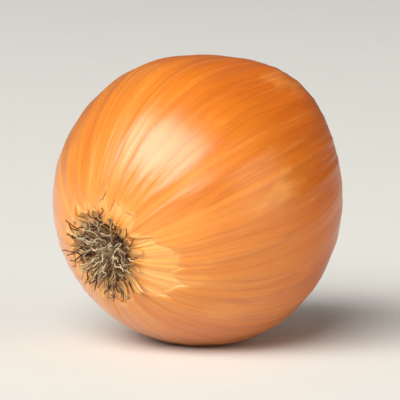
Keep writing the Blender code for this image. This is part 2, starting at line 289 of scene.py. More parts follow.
def dense_outline():
    """Radius, height, length so far and outward normal, from the neck's rim down to the root seat's rim."""
    neck_heights = np.linspace(NECK_TOP, 0.0, OUTLINE_PLACES)
    seat_rim = math.asin((SEAT_RADIUS + SEAT_LIP) / BELLY_RADIUS)
    turns = np.linspace(math.pi / 2.0, seat_rim, OUTLINE_PLACES)[1:]
    radius = np.concatenate([neck_side_radius(neck_heights), BELLY_RADIUS * np.sin(turns)])
    height = np.concatenate([neck_heights, root_side_height(BELLY_RADIUS * np.sin(turns))])
    length = np.concatenate([[0.0], np.cumsum(np.hypot(np.diff(radius), np.diff(height)))])
    out_radius, out_height = -np.gradient(height, length), np.gradient(radius, length)
    return radius, height, length, out_radius, out_height


OUT_RADIUS, OUT_HEIGHT, OUT_LENGTH, NORMAL_RADIUS, NORMAL_HEIGHT = dense_outline()
SEAT_RIM_AT = OUT_LENGTH[-1]
print("length of the outline in mm:", round(float(SEAT_RIM_AT), 1))

# %% [markdown]
# ## The form of the skin
#
# A real bulb is less perfect than its outline. One shoulder is fuller, broad lobes show where the layers
# inside are thicker, and low ribs run from the roots to the neck. At the neck the drying skin folds, twists
# and leans over, and its rim is ragged. All of this is plain arithmetic on the angle round the axis and the
# place along the outline.

# %% The form of the skin
RIBS = 30
RIB_HEIGHT = 0.17
RIB_SWAY = 0.5
RIB_SWAY_WAVES = 3
RIB_SWAY_TURN = 0.06
RIBS_FULL_AT = 16.0
RIBS_FADE = (30.0, 38.0)
LOBES = ((2, 0.42, 0.7), (3, 0.34, 2.1), (5, 0.16, 4.0))
LOBE_TURN = 0.35
SHOULDER_SWELL = 3.4
SHOULDER_ANGLE = -2.5
SHOULDER_WIDTH = 0.55
SHOULDER_HEIGHT = 25.0
SHOULDER_LENGTH = 11.0
FOLDS = ((7, 0.42, 0.9), (11, 0.36, 2.0), (4, 0.26, 1.2))
FOLDS_GROW = (26.0, 40.0)
FOLDS_WEAKER = 0.4
FOLDS_WEAKER_RANGE = (6.0, 20.0)
NECK_START = 30.0
NECK_TURN = math.radians(38.0)
NECK_FLATTEN = 0.30
NECK_LEAN = 5.6
NECK_LEAN_ANGLE = math.radians(67.0)
FINE_FOLDS = 23
FINE_FOLD_HEIGHT = 0.16
FINE_FOLD_SWAY = 3.0
FINE_FOLD_SWAY_WAVES = 2
FINE_FOLDS_GROW = (30.0, 41.0)
RAGGED = ((2, 0.8, 0.3), (5, 0.6, 1.9), (7, 0.5, 4.4), (19, 0.25, 0.8))
RAGGED_LENGTH = 3.0


def fuller_shoulder(angle, height):
    """How much fuller the bulb is at one side of its shoulder than at the others."""
    aside = turn_between(angle, SHOULDER_ANGLE) / SHOULDER_WIDTH
    along = (height - SHOULDER_HEIGHT) / SHOULDER_LENGTH
    return SHOULDER_SWELL * np.exp(-(aside**2) - along**2)


def skin_points(angle, at, level):
    """Points on the skin: angle round the axis, length along the outline, and height above the skin."""
    radius = np.interp(at, OUT_LENGTH, OUT_RADIUS)
    height = np.interp(at, OUT_LENGTH, OUT_HEIGHT)
    fullness = np.minimum(1.0, radius / BELLY_RADIUS) ** 2
    lobes = waves(angle + LOBE_TURN * height / NECK_RISE, LOBES) * fullness
    sway = RIB_SWAY * np.sin(RIB_SWAY_WAVES * angle + RIB_SWAY_TURN * height)
    ridge = (0.5 + 0.5 * np.cos(RIBS * angle + sway)) ** 2
    on_belly = ease(radius, SEAT_RADIUS + 1.0, RIBS_FULL_AT) * (1.0 - ease(height, *RIBS_FADE))
    folds = waves(angle, FOLDS) * ease(height, *FOLDS_GROW)
    folds = folds * (1.0 - FOLDS_WEAKER * ease(radius, *FOLDS_WEAKER_RANGE))
    fine_sway = FINE_FOLD_SWAY * np.sin(FINE_FOLD_SWAY_WAVES * angle)
    fine_folds = FINE_FOLD_HEIGHT * np.cos(FINE_FOLDS * angle + fine_sway) * ease(height, *FINE_FOLDS_GROW)
    out = level + lobes + RIB_HEIGHT * ridge * on_belly + folds + fine_folds
    radius = radius + out * np.interp(at, OUT_LENGTH, NORMAL_RADIUS) + fuller_shoulder(angle, height)
    height = height + level * np.interp(at, OUT_LENGTH, NORMAL_HEIGHT)
    height = height + waves(angle, RAGGED) * ease(height, NECK_TOP - RAGGED_LENGTH, NECK_TOP)
    at_neck = ease(height, NECK_START, NECK_TOP)
    turned = angle + NECK_TURN * at_neck
    lean = NECK_LEAN * at_neck
    x = radius * np.cos(turned) + lean * math.cos(NECK_LEAN_ANGLE)
    y = radius * np.sin(turned) * (1.0 - NECK_FLATTEN * at_neck) + lean * math.sin(NECK_LEAN_ANGLE)
    return np.stack([x, y, height], axis=-1)


rim = skin_points(np.linspace(0.0, math.tau, 100), 0.0, 0.0)
print("the neck's rim is", round(float(np.ptp(rim[:, 0])), 1), "by", round(float(np.ptp(rim[:, 1])), 1), "mm")

# %% [markdown]
# ## The material of the dry skin
#
# An onion's outer skin is a dead, dry leaf base: thin, brittle and papery, with a cuticle that still shines
# a little. Its veins run from the roots to the neck, so every pattern here is stretched along the axis. It
# does this by reading an attribute of the mesh, which holds the cosine and the sine of the angle round the
# axis, and the height above the belly in belly radii: scaled strongly in the first two and weakly in the
# third, plain noise becomes streaks. Each pattern below says how many millimetres wide its features are,
# and how many times longer. The real skin's finest grain is about 0.2 mm, too fine to show in the picture,
# so the finest streaks here are 1.5 mm wide. The veins stand 4 mm apart, as on the real skin.

# %% Patterns that run along the skin
SKIN_PATTERNS = {
    "fine": {"width": 1.5, "stretch": 26.0, "shift": 0.0, "detail": 5.0},
    "broad": {"width": 7.0, "stretch": 7.0, "shift": 3.1, "detail": 3.0},
    "vein": {"width": 4.2, "stretch": 16.0, "shift": 7.7, "detail": 2.0},
    "blotch": {"width": 13.0, "stretch": 1.6, "shift": 5.3, "detail": 4.0},
    "speck": {"width": 1.1, "stretch": 2.2, "shift": 9.4, "detail": 3.0},
}
PATTERN_ROUGHNESS = 0.6
LINE_STEEPNESS = 4.0


def skin_patterns(tree, place, patterns):
    """One noise for each pattern: how wide its features are in mm, how many times longer, and a shift."""
    found = {}
    for name, pattern in patterns.items():
        wide, shift = BELLY_RADIUS / pattern["width"], pattern["shift"]
        scale = (wide, wide, wide / pattern["stretch"])
        sizes = {"Vector": place, "Scale": scale, "Location": (shift, 2.0 * shift, 0.7 * shift)}
        vector = add_node(tree, "ShaderNodeMapping", "Vector", sizes)
        sizes = {"Vector": vector, "Scale": 1.0, "Detail": pattern["detail"], "Roughness": PATTERN_ROUGHNESS}
        found[name] = add_node(tree, "ShaderNodeTexNoise", "Fac", sizes)
    return found


def narrow_lines(tree, value, sharpness):
    """Turns a noise into narrow lines, which lie where it passes through its middle."""
    off_middle = add_node(tree, "ShaderNodeMath", "Value", {0: value, 1: 0.5}, operation="SUBTRACT")
    off_middle = add_node(tree, "ShaderNodeMath", "Value", {0: off_middle}, operation="ABSOLUTE")
    near = {0: off_middle, 1: -LINE_STEEPNESS, 2: 1.0}
    near = add_node(tree, "ShaderNodeMath", "Value", near, operation="MULTIPLY_ADD")
    near = add_node(tree, "ShaderNodeMath", "Value", {0: near, 1: 0.0}, operation="MAXIMUM")
    return add_node(tree, "ShaderNodeMath", "Value", {0: near, 1: sharpness}, operation="POWER")


def tinted(tree, colour, tints):
    """Lays tints over a colour, each as (value, low, high, strength, tint): none at low, all at high."""
    for value, low, high, strength, tint in tints:
        sizes = {"Value": value, "From Min": low, "From Max": high, "To Min": 0.0, "To Max": strength}
        share = add_node(tree, "ShaderNodeMapRange", "Result", sizes, interpolation_type="SMOOTHSTEP")
        above = srgb(tint) if isinstance(tint, str) else tint
        colour = add_node(tree, "ShaderNodeMix", 2, {0: share, 6: colour, 7: above}, data_type="RGBA")
    return colour


print("patterns of the skin:", ", ".join(SKIN_PATTERNS))

# %% [markdown]
# ## The colours and the shine of the dry skin
#
# The colour goes from pale gold by the roots, through orange-brown on the belly, to straw at the neck, and
# the patterns lay pale and dark streaks, thin dark veins and small specks over it. A second attribute says
# where the outer skin has flaked off, where its torn rim is, and where the neck begins. The cuticle is a
# natural wax, so the skin gets an index of refraction of 1.46 and a clear coat. The coat is soft, because
# the skin under it is finely creased. It is full by the roots, where the skin is drawn tight, and fades
# across the belly towards the neck, where the skin has dried to matt paper.

# %% Colours of the dry skin
HEIGHT_SHARE = 0.42
WANDER_SHARE = 0.35
LOWEST_LEVEL = 0.27
SKIN_COLOURS = [
    (0.00, "e29132"), (0.16, "d67d20"), (0.34, "d07415"), (0.60, "c5610d"),
    (0.78, "bf5f10"), (0.90, "c27a32"), (1.00, "c09458"),
]


def skin_colour(tree, height, bared, rim, neck, found):
    """The colour of the dry skin at a height, with its streaks, veins, blotches, torn rim and neck."""
    wander = {0: found["broad"], 1: WANDER_SHARE, 2: LOWEST_LEVEL}
    wander = add_node(tree, "ShaderNodeMath", "Value", wander, operation="MULTIPLY_ADD")
    level = {0: height, 1: HEIGHT_SHARE, 2: wander}
    level = add_node(tree, "ShaderNodeMath", "Value", level, operation="MULTIPLY_ADD")
    ground = add_node(tree, "ShaderNodeValToRGB", "Color", {"Fac": level})
    set_ramp(ground, SKIN_COLOURS)
    pale = tinted(tree, srgb("e59c46"), [(found["fine"], 0.35, 0.70, 0.8, "f2c07a")])
    straw = tinted(tree, srgb("b8864c"), [(found["fine"], 0.34, 0.66, 1.0, "ecd3a8")])
    return tinted(tree, ground, [
        (found["blotch"], 0.50, 0.72, 0.42, "c2611d"),
        (found["blotch"], 0.46, 0.26, 0.42, "eba650"),
        (found["fine"], 0.50, 0.74, 0.22, "efab5c"),
        (found["fine"], 0.50, 0.28, 0.18, "ad5214"),
        (narrow_lines(tree, found["vein"], 7.0), 0.0, 1.0, 0.24, "964212"),
        (found["speck"], 0.68, 0.76, 0.35, "7a3d16"),
        (bared, 0.0, 1.0, 0.68, pale),
        (rim, 0.0, 1.0, 0.34, "eebb78"),
        (neck, 0.0, 1.0, 0.8, straw),
    ])


print("the skin's colour runs through", len(SKIN_COLOURS), "stops from the roots to the neck")

# %% Dry onion skin
ROUGHNESS = 0.23
ROUGHER_STREAKS = 0.22
ROUGHER_NECK = 0.22
SKIN_IOR = 1.46
SKIN_SPECULAR = 0.36
COAT_AT_ROOTS, COAT_AT_NECK = 1.0, 0.15
COAT_FADE = (-0.45, 0.25)
COAT_ROUGHNESS = 0.33


def dry_skin_material():
    """Dry onion skin, a waxed natural paper: a broad satin shine, streaks along it, and a matt neck."""
    material, tree, surface = new_material("dry_onion_skin")
    place = add_node(tree, "ShaderNodeAttribute", "Vector", {}, attribute_name="skin_place")
    state = add_node(tree, "ShaderNodeAttribute", "Vector", {}, attribute_name="skin_state")
    height = add_node(tree, "ShaderNodeSeparateXYZ", "Z", {"Vector": place})
    bared = add_node(tree, "ShaderNodeSeparateXYZ", "X", {"Vector": state})
    rim, neck = bared.node.outputs["Y"], bared.node.outputs["Z"]
    found = skin_patterns(tree, place, SKIN_PATTERNS)
    tree.links.new(skin_colour(tree, height, bared, rim, neck, found), surface.inputs["Base Color"])
    rough = {0: found["fine"], 1: ROUGHER_STREAKS, 2: ROUGHNESS}
    rough = add_node(tree, "ShaderNodeMath", "Value", rough, operation="MULTIPLY_ADD")
    rough = {0: neck, 1: ROUGHER_NECK, 2: rough}
    rough = add_node(tree, "ShaderNodeMath", "Value", rough, operation="MULTIPLY_ADD")
    tree.links.new(rough, surface.inputs["Roughness"])
    creases = {"Height": found["fine"], "Strength": 0.4, "Distance": 0.3 * MM}
    tree.links.new(add_node(tree, "ShaderNodeBump", "Normal", creases), surface.inputs["Normal"])
    surface.inputs["IOR"].default_value = SKIN_IOR
    surface.inputs["Specular IOR Level"].default_value = SKIN_SPECULAR
    shine = {"Value": height, "From Min": COAT_FADE[0], "From Max": COAT_FADE[1],
             "To Min": COAT_AT_ROOTS, "To Max": COAT_AT_NECK}
    shine = add_node(tree, "ShaderNodeMapRange", "Result", shine, interpolation_type="SMOOTHSTEP")
    tree.links.new(shine, surface.inputs["Coat Weight"])
    surface.inputs["Coat Roughness"].default_value = COAT_ROUGHNESS
    return material


skin_material = dry_skin_material()
print("made", skin_material.name, "with", len(skin_material.node_tree.nodes), "nodes")

# %% [markdown]
# ## Geometry Nodes groups, and a way to run one
#
# Veins and wrinkles follow the skin by a rule, and so do the roots on their plate, so both are made with
# Geometry Nodes. Each group has named inputs for its sizes, and ends with real geometry that has its
# material. A helper hangs the group on a piece, fills in the inputs, and keeps the result as a plain
# mesh, so that nothing live is left behind. Two more make a piece from points in millimetres, and lay a
# finished piece down where the onion lies.

# %% Geometry Nodes helpers


def new_group(name, inputs):
    """A Geometry Nodes group with geometry in and out, and named inputs given as {label: socket type}."""
    tree = bpy.data.node_groups.new(name, "GeometryNodeTree")
    tree.interface.new_socket("Geometry", in_out="INPUT", socket_type="NodeSocketGeometry")
    for label, kind in inputs.items():
        tree.interface.new_socket(label, in_out="INPUT", socket_type=kind)
    tree.interface.new_socket("Geometry", in_out="OUTPUT", socket_type="NodeSocketGeometry")
    given = tree.nodes.new("NodeGroupInput").outputs
    return tree, given, tree.nodes.new("NodeGroupOutput").inputs["Geometry"]


def finish_group(tree, given, result, geometry):
    """Ends a group: its instances become real geometry, which gets the given material."""
    whole = add_node(tree, "GeometryNodeRealizeInstances", "Geometry", {"Geometry": geometry})
    painted = {"Geometry": whole, "Material": given["Material"]}
    tree.links.new(add_node(tree, "GeometryNodeSetMaterial", "Geometry", painted), result)
    return tree


def keep_result(piece):
    """Keeps what a piece's modifiers make as its own plain mesh, and drops the modifiers."""
    graph = bpy.context.evaluated_depsgraph_get()
    mesh = bpy.data.meshes.new_from_object(piece.evaluated_get(graph))
    piece.modifiers.clear()
    piece.data = mesh


def run_group(piece, tree, values):
    """Runs the group on a piece with these values, and keeps the result as the piece's own plain mesh."""
    modifier = piece.modifiers.new(tree.name, "NODES")
    modifier.node_group = tree
    for item in tree.interface.items_tree:
        if item.in_out == "INPUT" and item.name in values:
            modifier[item.identifier] = values[item.name]
    keep_result(piece)
    print(piece.name, "after", tree.name, "has", len(piece.data.polygons), "faces")


def new_piece(name, points, faces, attributes, material):
    """A mesh object from millimetre points in the onion's own frame, with its vector attributes."""
    mesh = bpy.data.meshes.new(name)
    mesh.from_pydata([tuple(point) for point in points], [], faces)
    for label, values in attributes.items():
        layer = mesh.attributes.new(label, "FLOAT_VECTOR", "POINT")
        layer.data.foreach_set("vector", np.asarray(values, dtype=np.float32).ravel())
    mesh.materials.append(material)
    mesh.validate()
    piece = bpy.data.objects.new(name, mesh)
    bpy.context.scene.collection.objects.link(piece)
    return piece


def lay_down(piece):
    """Puts a finished piece where the onion lies, and has it follow the CAD onion."""
    piece.data.transform(LYING)
    piece.data.shade_smooth()
    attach(piece, "root")


root_end = LYING @ Vector((0.0, 0.0, -ROOT_DEPTH))
print("the root end lies at", [round(value, 4) for value in root_end])

# %% [markdown]
# ## The torn edge round the roots
#
# Handling rubs the outermost skin away round the roots, and bares the next one, which is paler and more
# golden. The tear isn't a circle. It reaches furthest on one side, follows the veins in sharp nicks, and
# its rim lifts a little. The mesh can show that crisply if its own rings follow the tear, so the tear's
# reach is worked out first, for every column of the mesh.

# %% The tear's reach
COLUMNS = 430
TEAR_REACH = 11.8
TEAR_WAVES = ((2, 1.0, 5.1), (5, 0.9, 0.4), (9, 0.8, 2.6), (17, 0.6, 1.1))
TEAR_PATCH_REACH = 7.0
TEAR_PATCH_ANGLE = -1.3
TEAR_PATCH_WIDTH = 0.54
TEAR_LIMITS = (9.6, 31.0)
NICKS = 26
NICK_WIDTHS = (0.02, 0.09)
NICK_DEPTHS = (-1.6, 3.4)
NICK_SEED = 5


def tear_reach(angle):
    """How far from the axis the outer skin has flaked away, with nicks that run along the veins."""
    reach = TEAR_REACH + waves(angle, TEAR_WAVES)
    from_patch = turn_between(angle, TEAR_PATCH_ANGLE) / TEAR_PATCH_WIDTH
    reach = reach + TEAR_PATCH_REACH * np.exp(-(from_patch**4))
    draw = random.Random(NICK_SEED)
    for _ in range(NICKS):
        middle, width = draw.uniform(-math.pi, math.pi), draw.uniform(*NICK_WIDTHS)
        depth = draw.uniform(*NICK_DEPTHS)
        reach = reach + depth * np.maximum(0.0, 1.0 - np.abs(turn_between(angle, middle)) / width) ** 1.5
    return np.clip(reach, *TEAR_LIMITS)


ANGLES = np.linspace(0.0, math.tau, COLUMNS, endpoint=False)
root_side = OUT_HEIGHT < -1.0
TEAR_AT = np.interp(-tear_reach(ANGLES), -OUT_RADIUS[root_side], OUT_LENGTH[root_side])
nearest, furthest = float(tear_reach(ANGLES).min()), float(tear_reach(ANGLES).max())
print("the tear reaches from", round(nearest, 1), "to", round(furthest, 1), "mm from the axis")

# %% [markdown]
# ## The rings of the skin
#
# The skin is one closed surface, laid out in rings. They run from the neck's rim, over the shoulders and
# the belly, to the torn rim. There the surface turns under the lifted rim, drops to the layer below, and
# carries on to the seat of the root plate. Each point keeps its place round the axis and its state in two
# attributes, which both the relief and the material read.

# %% Rings of the skin
OUTER_RINGS = 158
RING_CROWDING = 1.15
BARED_RINGS = 38
BARED_BACK = 0.45
INNER_LEVEL = -0.42
UNDER_RIM = {"back": 0.55, "drop": 0.25, "level": INNER_LEVEL + 0.12}
RIM_LIFT = 0.5
RIM_LIFT_BASE = 0.35
RIM_LIFT_LENGTH = 2.6
RIM_WAVES = ((3, 0.45, 0.4), (7, 0.36, 2.2), (13, 0.32, 1.0))
RIM_TURN = ((0.10, 0.07, 0.0), (0.02, 0.16, 0.3))
RIM_PALE_WIDTH = 0.9
NECK_STRAW = (30.0, 44.0)
NECK_STRAW_WAVES = ((5, 2.5, -1.6), (11, 2.0, -0.6))


def skin_rings():
    """For each ring: length along the outline and level for every column, and bared, from 0 to 1."""
    lift = RIM_LIFT * np.maximum(0.0, RIM_LIFT_BASE + waves(ANGLES, RIM_WAVES))
    rings = []
    for n in range(OUTER_RINGS):
        at = TEAR_AT * (1.0 - (1.0 - n / (OUTER_RINGS - 1)) ** RING_CROWDING)
        lifted = lift * ease(at, TEAR_AT - RIM_LIFT_LENGTH, TEAR_AT) ** 2
        rings.append((at, lifted, 0.0))
    for beyond, sink, bared in RIM_TURN:
        rings.append((TEAR_AT + beyond, lift - sink, bared))
    below = np.minimum(lift - UNDER_RIM["drop"], UNDER_RIM["level"])
    rings.append((TEAR_AT - UNDER_RIM["back"], below, 1.0))
    for n in range(BARED_RINGS):
        share = n / (BARED_RINGS - 1)
        at = (TEAR_AT - BARED_BACK) + (SEAT_RIM_AT - TEAR_AT + BARED_BACK) * share
        rings.append((at, np.full(COLUMNS, INNER_LEVEL), 1.0))
    return rings


def ring_attributes(at, bared):
    """The two attributes of one ring's points: place round the axis, and (bared, rim, neck)."""
    height = np.interp(at, OUT_LENGTH, OUT_HEIGHT)
    place = np.stack([np.cos(ANGLES), np.sin(ANGLES), height / BELLY_RADIUS], axis=-1)
    rim = np.exp(-np.abs(TEAR_AT - at) / RIM_PALE_WIDTH) * (1.0 - bared)
    neck = ease(height, NECK_STRAW[0] + waves(ANGLES, NECK_STRAW_WAVES), NECK_STRAW[1])
    return place, np.stack([np.full(COLUMNS, bared), rim, neck], axis=-1)


rows, places, states = [], [], []
for at, level, bared in skin_rings():
    rows.append(skin_points(ANGLES, at, level))
    place, state = ring_attributes(at, bared)
    places.append(place)
    states.append(state)
print("rings of skin:", len(rows))

# %% [markdown]
# ## The mesh of the skin
#
# A dried neck isn't sealed: its folded end leads a little way in and closes. So a few rings more go down
# into the neck's mouth, and others into the seat where the root plate sits. Faces join each ring to the
# next, and a fan of triangles closes each end, so that the piece is watertight and its faces point
# outwards.

# %% Mesh of the skin
MOUTH_STEPS = ((0.90, -0.4), (0.74, -1.5), (0.56, -2.6), (0.36, -3.2), (0.16, -3.4))
MOUTH_CREASES = {"count": 9, "depth": 0.35, "turn": 4.0}
SEAT_STEPS = ((SEAT_RADIUS, 0.6), (SEAT_RADIUS, 1.4), (0.6 * SEAT_RADIUS, 1.4))


def mouth_rows(rim_row):
    """Rings that lead from the neck's rim down into its mouth, innermost first."""
    middle = rim_row.mean(axis=0)
    found = []
    for share, drop in MOUTH_STEPS:
        ring = middle + (rim_row - middle) * share
        creases = np.cos(MOUTH_CREASES["count"] * ANGLES + MOUTH_CREASES["turn"] * share)
        ring[:, 2] = ring[:, 2] + drop + MOUTH_CREASES["depth"] * creases
        found.insert(0, ring)
    return found


def seat_rows(last_row):
    """Rings that lead from the last ring of skin down into the seat of the root plate."""
    found = []
    for radius, drop in SEAT_STEPS:
        height = np.full(COLUMNS, last_row[:, 2].mean() + drop)
        found.append(np.stack([radius * np.cos(ANGLES), radius * np.sin(ANGLES), height], axis=-1))
    return found


def end_middles(rings):
    """The middles of the first and the last ring, which become the poles of the closed surface."""
    return [rings[0].mean(axis=0)[None], rings[-1].mean(axis=0)[None]]


def closed_mesh(ring_rows):
    """Points and faces of a closed surface through equal rings, with a point at each pole."""
    points = np.concatenate([*ring_rows, *end_middles(ring_rows)])
    count, rings = ring_rows[0].shape[0], len(ring_rows)
    faces = []
    for i in range(rings - 1):
        for j in range(count):
            k = (j + 1) % count
            faces.append((i * count + j, (i + 1) * count + j, (i + 1) * count + k, i * count + k))
    for j in range(count):
        k = (j + 1) % count
        faces.append((rings * count, j, k))
        faces.append((rings * count + 1, (rings - 1) * count + k, (rings - 1) * count + j))
    return points, faces


inside, below = mouth_rows(rows[0]), seat_rows(rows[-1])
points, faces = closed_mesh([*inside, *rows, *below])
spread_places = [places[0]] * len(inside) + places + [places[-1]] * len(below)
spread_states = [states[0]] * len(inside) + states + [states[-1]] * len(below)
attributes = {
    "skin_place": np.concatenate([*spread_places, *end_middles(places)]),
    "skin_state": np.concatenate([*spread_states, *end_middles(states)]),
}
bulb_skin = new_piece("bulb_skin", points, faces, attributes, skin_material)
print("bulb_skin has", len(faces), "faces before its relief")

# %% [markdown]
# ## Veins and wrinkles
#
# Dry skin shrinks between its veins, so they stand out as fine cords, and close to the roots it puckers.
# The group below reads the place attribute, stretches two noises along the axis, and pushes each point
# along its own normal. The veins are where the first noise passes through its middle. The wrinkles come
# from the second, and fade away from the roots. The torn rim is left as it is, so that its edge stays
# crisp.

# %% Relief of the skin
RELIEF_STRETCHES = {"Vein Width": 15.0, "Wrinkle Width": 5.0}
RELIEF_VEIN_SHARPNESS = 3.0
WRINKLES_FADE = {"From Min": -0.55, "From Max": -0.85, "To Min": 0.12, "To Max": 1.0}


def skin_relief_group():
    """Pushes the skin out along its veins and its wrinkles, by a noise that is stretched along the axis."""
    sizes = {"Vein Height": "NodeSocketFloat", "Vein Width": "NodeSocketFloat",
             "Wrinkle Height": "NodeSocketFloat", "Wrinkle Width": "NodeSocketFloat",
             "Material": "NodeSocketMaterial"}
    tree, given, result = new_group("skin_relief", sizes)
    place = add_node(tree, "GeometryNodeInputNamedAttribute", 0, {"Name": "skin_place"},
                     data_type="FLOAT_VECTOR")
    state = add_node(tree, "GeometryNodeInputNamedAttribute", 0, {"Name": "skin_state"},
                     data_type="FLOAT_VECTOR")
    noises = []
    for label, stretch in RELIEF_STRETCHES.items():
        wide = add_node(tree, "ShaderNodeMath", "Value", {0: BELLY_RADIUS, 1: given[label]},
                        operation="DIVIDE")
        long = add_node(tree, "ShaderNodeMath", "Value", {0: wide, 1: stretch}, operation="DIVIDE")
        scale = add_node(tree, "ShaderNodeCombineXYZ", "Vector", {"X": wide, "Y": wide, "Z": long})
        vector = add_node(tree, "ShaderNodeVectorMath", "Vector", {0: place, 1: scale}, operation="MULTIPLY")
        noises.append(add_node(tree, "ShaderNodeTexNoise", "Fac",
                               {"Vector": vector, "Scale": 1.0, "Detail": 2.0}))
    veins = narrow_lines(tree, noises[0], RELIEF_VEIN_SHARPNESS)
    veins = add_node(tree, "ShaderNodeMath", "Value", {0: veins, 1: given["Vein Height"]},
                     operation="MULTIPLY")
    height = add_node(tree, "ShaderNodeSeparateXYZ", "Z", {"Vector": place})
    fade = {"Value": height, **WRINKLES_FADE}
    by_roots = add_node(tree, "ShaderNodeMapRange", "Result", fade, interpolation_type="SMOOTHSTEP")
    puckers = add_node(tree, "ShaderNodeMath", "Value", {0: noises[1], 1: given["Wrinkle Height"]},
                       operation="MULTIPLY")
    puckers = add_node(tree, "ShaderNodeMath", "Value", {0: puckers, 1: by_roots}, operation="MULTIPLY")
    rim = add_node(tree, "ShaderNodeSeparateXYZ", "Y", {"Vector": state})
    off_rim = add_node(tree, "ShaderNodeMath", "Value", {0: 1.0, 1: rim}, operation="SUBTRACT")
    out = add_node(tree, "ShaderNodeMath", "Value", {0: veins, 1: puckers}, operation="ADD")
    out = add_node(tree, "ShaderNodeMath", "Value", {0: out, 1: off_rim}, operation="MULTIPLY")
    normal = add_node(tree, "GeometryNodeInputNormal", "Normal", {})
    push = add_node(tree, "ShaderNodeVectorMath", "Vector", {0: normal, "Scale": out}, operation="SCALE")
    moved = add_node(tree, "GeometryNodeSetPosition", "Geometry",
                     {"Geometry": given["Geometry"], "Offset": push})
    return finish_group(tree, given, result, moved)


relief = {"Vein Height": 0.07, "Vein Width": 4.2, "Wrinkle Height": 0.75, "Wrinkle Width": 3.0}
run_group(bulb_skin, skin_relief_group(), {**relief, "Material": skin_material})

# %% [markdown]
# ## The flat spot, and laying the bulb down
#
# The onion rests on a small flat spot. Pressing the lowest points up to the floor makes it, and nothing of
# the skin then reaches below the surface that it lies on. The skin stands for the CAD bulb from here on.

# %% Lay the bulb down


def rest_on_floor(piece):
    """Lifts every point that is below the floor onto it."""
    for vertex in piece.data.vertices:
        vertex.co.z = max(vertex.co.z, 0.0)


lay_down(bulb_skin)
rest_on_floor(bulb_skin)
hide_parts("bulb")
print("bulb_skin rests on the floor")

# %% [markdown]
# ## What roots and root plate are made of
#
# The roots grow from a flat, corky plate. Once the onion is lifted and dried, they shrivel to brown and
# straw-coloured threads, half a millimetre thick, and both are dull, because they are dead and porous. Each
# thread is mottled along its length and has its own tone. The plate is greyest in the middle, where it is
# oldest, and takes the skin's brown at its edge. Its grain and its pits are about a millimetre across.

# %% Materials of the roots
ROOT_MOTTLE, ROOT_ROUGHNESS = 1.1 * MM, 0.82
PLATE_GRAIN, PLATE_ROUGHNESS = 1.2 * MM, 0.9
ROOT_COLOURS = [(0.0, "26170e"), (0.30, "52331e"), (0.55, "80603f"), (0.78, "a68d6c"), (1.0, "c4b497")]
PLATE_COLOURS = [(0.0, "a3927b"), (0.30, "806649"), (0.55, "59391f"), (0.80, "7d5029"), (1.0, "b67837")]


def grained_colour(tree, attribute, grain_size, detail, colours):
    """A ramp's colour at an attribute that a fine grain moves to and fro, and the grain itself."""
    tone = add_node(tree, "ShaderNodeAttribute", "Fac", {}, attribute_name=attribute)
    place = add_node(tree, "ShaderNodeTexCoord", "Object", {})
    grain = {"Vector": place, "Scale": 1.0 / grain_size, "Detail": detail}
    grain = add_node(tree, "ShaderNodeTexNoise", "Fac", grain)
    level = add_node(tree, "ShaderNodeMath", "Value", {0: grain, 1: 0.5, 2: -0.25}, operation="MULTIPLY_ADD")
    level = add_node(tree, "ShaderNodeMath", "Value", {0: level, 1: tone}, operation="ADD")
    colour = add_node(tree, "ShaderNodeValToRGB", "Color", {"Fac": level})
    set_ramp(colour, colours)
    return colour, grain


def dried_root_material():
    """Dried root threads: matt, from dark brown to straw, each in its own tone, with a mottled length."""
    material, tree, surface = new_material("dried_roots")
    colour, _ = grained_colour(tree, "root_tone", ROOT_MOTTLE, 2.0, ROOT_COLOURS)
    tree.links.new(colour, surface.inputs["Base Color"])
    surface.inputs["Roughness"].default_value = ROOT_ROUGHNESS
    return material


def root_plate_material():
    """The corky root plate: matt, its pits darkened with painted shade, grey straw in the middle, like the
    skin at its edge.
    """
    material, tree, surface = new_material("corky_root_plate")
    colour, grain = grained_colour(tree, "plate_share", PLATE_GRAIN, 4.0, PLATE_COLOURS)
    # The pits that the bump below sinks are painted almost black: painted shade in the hollows.
    pits_with_painted_shade = tinted(tree, colour, [(grain, 0.48, 0.34, 0.8, "2c1a0f")])
    tree.links.new(pits_with_painted_shade, surface.inputs["Base Color"])
    pits = {"Height": grain, "Strength": 0.7, "Distance": 0.5 * MM}
    tree.links.new(add_node(tree, "ShaderNodeBump", "Normal", pits), surface.inputs["Normal"])
    surface.inputs["Roughness"].default_value = PLATE_ROUGHNESS
    return material


root_material, plate_material = dried_root_material(), root_plate_material()
print("made", root_material.name, "and", plate_material.name)

# %% [markdown]
# ## The root plate
#
# The plate is the very short stem of the onion. It could be a plain disc, but its face is domed and lumpy
# from the stubs of old roots, so its rings are lifted by two waves that turn from ring to ring. It sits in
# the seat of the bulb with the same narrow gap all round as the CAD plate.

# %% The root plate
SEAT_FLOOR = 3.4 - ROOT_DEPTH
PLATE_GAP = 0.3
PLATE_CROWN = 1.0
PLATE_EDGE = 2.1 - ROOT_DEPTH
PLATE_COLUMNS = 72
PLATE_LUMPS = ((5, 0.22, 1.3), (11, 0.16, -2.1))
CROWN_SHARES = np.linspace(0.97, 0.06, 15)


def plate_rings():
    """Rings of the plate from its flat back, round its edge, to its lumpy crown."""
    turn = np.linspace(0.0, math.tau, PLATE_COLUMNS, endpoint=False)
    edge, back = SEAT_RADIUS - PLATE_GAP, SEAT_FLOOR - PLATE_GAP
    plain = [(0.4 * edge, back), (edge, back), (edge, 0.5 * (back + PLATE_EDGE)), (edge, PLATE_EDGE)]
    found = [np.stack([radius * np.cos(turn), radius * np.sin(turn), 0.0 * turn + height], axis=-1)
             for radius, height in plain]
    for n, share in enumerate(CROWN_SHARES):
        lumps = sum(size * np.sin(count * turn + shift * n) for count, size, shift in PLATE_LUMPS)
        height = PLATE_EDGE - PLATE_CROWN * (1.0 - share**2) + lumps
        found.append(np.stack([share * edge * np.cos(turn), share * edge * np.sin(turn), height], axis=-1))
    return found


